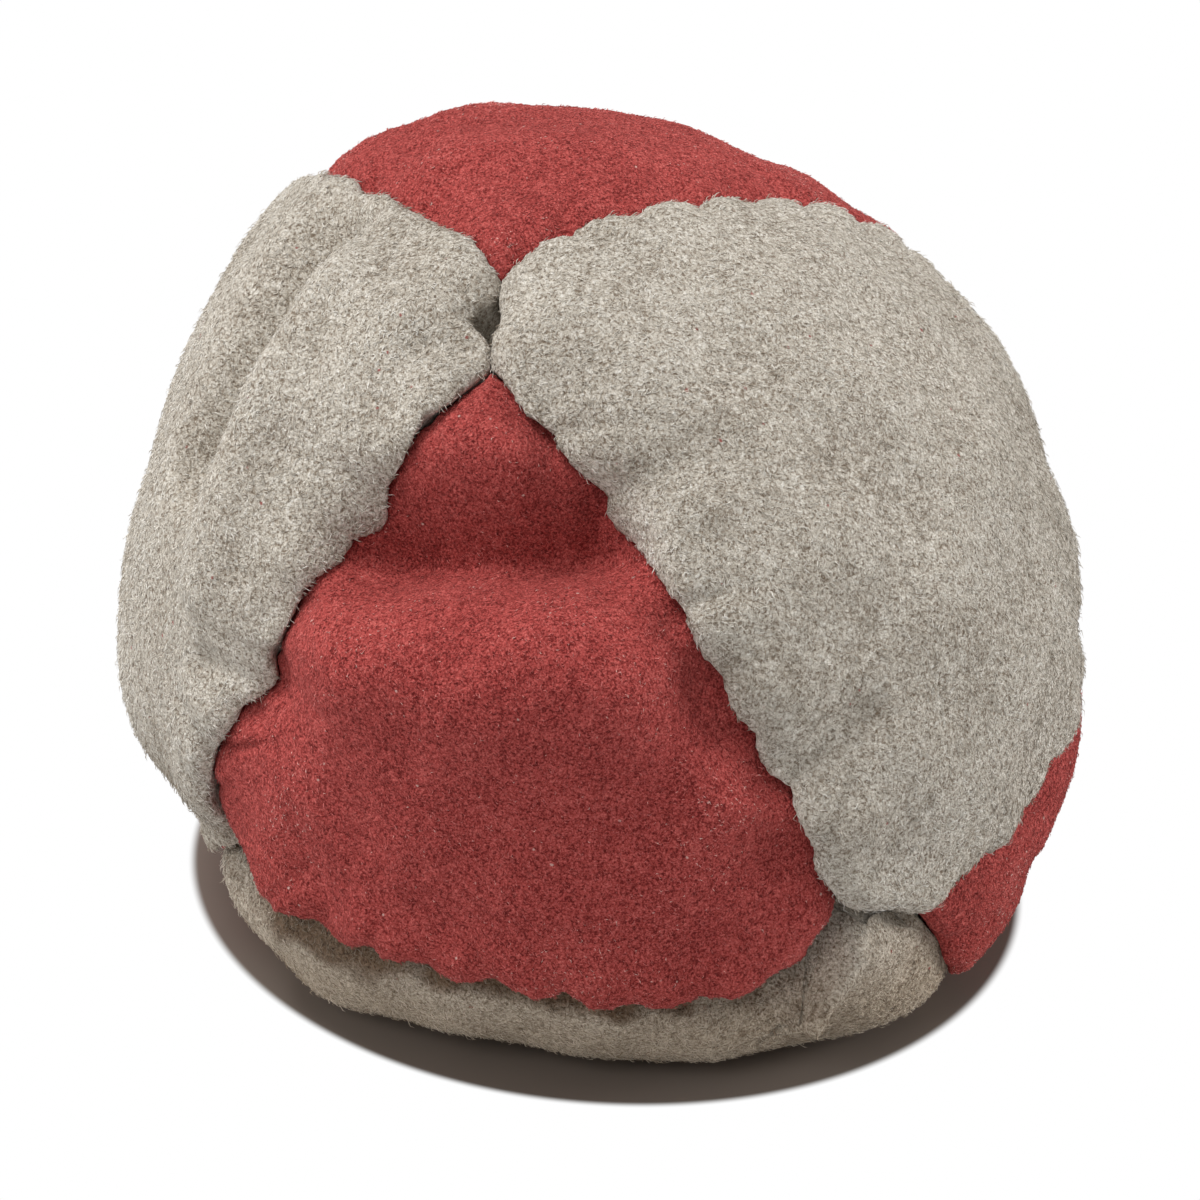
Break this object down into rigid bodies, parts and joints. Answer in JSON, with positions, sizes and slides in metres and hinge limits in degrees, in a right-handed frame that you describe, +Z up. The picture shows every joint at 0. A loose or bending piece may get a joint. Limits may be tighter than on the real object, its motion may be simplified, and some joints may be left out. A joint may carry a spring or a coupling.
{
  "type": "footbag",
  "caption": "Palm-sized footbag: a slumped, loosely filled ball of triangular suede panels in two alternating colours, sewn edge to edge.",
  "frame": {"origin": "on the flat underside, below the middle of the bag's outline", "axes": "+Z up from the surface it rests on; the large red triangle of the pictured side faces -Y"},
  "size_m": [0.0535, 0.0533, 0.045],
  "materials": {
    "red_suede": "matte",
    "grey_suede": "matte",
    "thread": "matte",
    "sand": "matte"
  },
  "bodies": {
    "root": {"upper_front_panel": "red_suede", "upper_right_panel": "grey_suede", "upper_back_panel": "red_suede", "upper_left_panel": "grey_suede", "lower_front_panel": "grey_suede", "lower_right_panel": "red_suede", "lower_back_panel": "grey_suede", "lower_left_panel": "red_suede", "near_left_thread": "thread", "near_right_thread": "thread", "left_right_thread": "thread", "near_far_left_thread": "thread", "near_far_right_thread": "thread", "far_left_far_right_thread": "thread", "right_far_right_thread": "thread", "right_far_thread": "thread", "far_far_right_thread": "thread", "left_far_thread": "thread", "left_far_left_thread": "thread", "far_far_left_thread": "thread", "sand_fill": "sand"}
  },
  "joints": []
}
